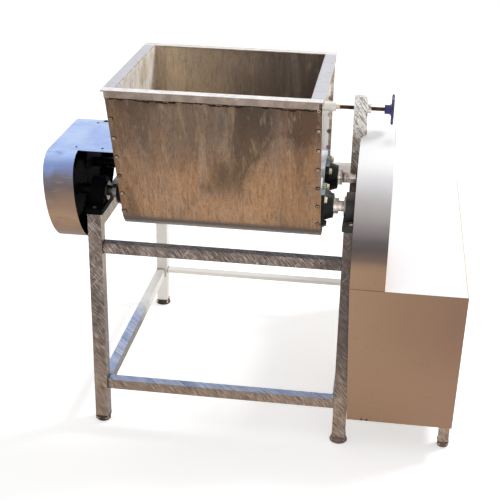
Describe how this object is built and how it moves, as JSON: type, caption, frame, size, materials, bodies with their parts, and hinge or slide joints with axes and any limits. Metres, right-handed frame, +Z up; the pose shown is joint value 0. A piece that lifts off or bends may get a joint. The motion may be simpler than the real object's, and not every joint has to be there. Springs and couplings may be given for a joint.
{
  "type": "flour mixer",
  "caption": "Tilting steel trough with geared twin paddle shafts on a tube frame, turned by a chain, belts and a motor in a sheet cabinet, for mixing flour into dough.",
  "frame": {"origin": "on the floor, under the middle of the machine's overall box", "axes": "+Z up, X along the two paddle shafts with the drive cabinet on +X, -Y towards the side where the flour is tipped out"},
  "size_m": [1.148, 1.092, 1.074],
  "materials": {
    "galvanised": "satin",
    "stainless": "satin",
    "cover_steel": "satin",
    "bright_steel": "polished",
    "green_iron": "painted",
    "grey_iron": "satin",
    "bearing_steel": "satin",
    "pad_plastic": "satin",
    "seal_plastic": "satin",
    "rubber_black": "matte",
    "wheel_blue": "satin",
    "screw_steel": "dull",
    "brass": "satin",
    "zinc": "satin",
    "motor_paint": "satin",
    "chain_steel": "oily"
  },
  "bodies": {
    "frame": {"front_left_leg": "galvanised", "front_right_leg": "galvanised", "rear_left_leg": "galvanised", "rear_right_leg": "galvanised", "feet": "rubber_black", "side_top_rails": "galvanised", "side_bottom_bars": "galvanised", "front_top_bar": "galvanised", "front_bottom_bar": "galvanised", "rear_bars": "galvanised", "pillow_seats": "galvanised", "left_pillow_block": "green_iron", "right_pillow_block": "green_iron", "pillow_inserts": "bearing_steel", "pillow_bolts": "zinc", "lock_post": "galvanised", "drive_hood": "cover_steel", "drive_inner_panel": "galvanised", "cabinet_cover": "cover_steel", "cabinet_front": "cover_steel", "cabinet_frame": "galvanised", "motor_base_plate": "galvanised", "motor_housing": "motor_paint", "countershaft_stands": "galvanised", "countershaft_bearings": "green_iron", "drive_chain": "chain_steel", "v_belts": "rubber_black"},
    "trough": {"trough_sheet": "stainless", "left_end_plate": "stainless", "right_end_plate": "stainless", "front_rim": "stainless", "rear_rim": "stainless", "side_rims": "stainless", "trough_screws": "zinc", "bearing_pads": "pad_plastic", "shaft_seals": "seal_plastic", "left_flange_bearings": "green_iron", "right_flange_bearings": "green_iron", "flange_inserts": "bearing_steel", "flange_bolts": "zinc", "lock_boss": "galvanised", "gear_guard": "stainless"},
    "front_rotor": {"front_shaft": "bright_steel", "front_shaft_collars": "bright_steel", "front_paddles": "stainless", "front_timing_gear": "grey_iron", "mixer_sprocket": "grey_iron"},
    "rear_rotor": {"rear_shaft": "bright_steel", "rear_shaft_collars": "bright_steel", "rear_paddles": "stainless", "rear_timing_gear": "grey_iron"},
    "counter_rotor": {"countershaft": "bright_steel", "large_pulley": "grey_iron", "counter_sprocket": "grey_iron"},
    "motor_rotor": {"motor_shaft": "bright_steel", "motor_pulley": "grey_iron", "motor_fan": "rubber_black"},
    "lock_tip": {"lock_tip": "brass"},
    "lock_screw": {"lock_screw": "screw_steel", "handwheel": "wheel_blue"}
  },
  "joints": [
    {"name": "trough_tilt", "type": "hinge", "parent": "frame", "child": "trough", "pos_m": [-0.109, -0.29405, 0.714], "axis": [1, 0, 0], "range_deg": [0, 85]},
    {"name": "front_shaft_spin", "type": "hinge", "parent": "trough", "child": "front_rotor", "pos_m": [-0.109, -0.29405, 0.714], "axis": [1, 0, 0], "continuous": true},
    {"name": "rear_shaft_spin", "type": "hinge", "parent": "trough", "child": "rear_rotor", "pos_m": [-0.109, -0.13405, 0.73938], "axis": [1, 0, 0], "continuous": true},
    {"name": "countershaft_spin", "type": "hinge", "parent": "frame", "child": "counter_rotor", "pos_m": [-0.109, -0.13405, 0.34], "axis": [1, 0, 0], "continuous": true},
    {"name": "motor_spin", "type": "hinge", "parent": "frame", "child": "motor_rotor", "pos_m": [-0.109, 0.16595, 0.256], "axis": [1, 0, 0], "continuous": true},
    {"name": "lock_slide", "type": "slide", "parent": "frame", "child": "lock_tip", "axis": [1, 0, 0], "range_m": [0, 0.0212]},
    {"name": "lock_turn", "type": "hinge", "parent": "lock_tip", "child": "lock_screw", "pos_m": [-0.109, -0.09105, 0.934], "axis": [1, 0, 0], "range_deg": [0, 4320]}
  ],
  "couplings": [
    {"joint": "rear_shaft_spin", "follows": "front_shaft_spin", "ratio": -1},
    {"joint": "countershaft_spin", "follows": "front_shaft_spin", "ratio": 1.6154},
    {"joint": "motor_spin", "follows": "front_shaft_spin", "ratio": 6.0577},
    {"joint": "lock_slide", "follows": "lock_turn", "m_per_rad": 0.00027852}
  ]
}
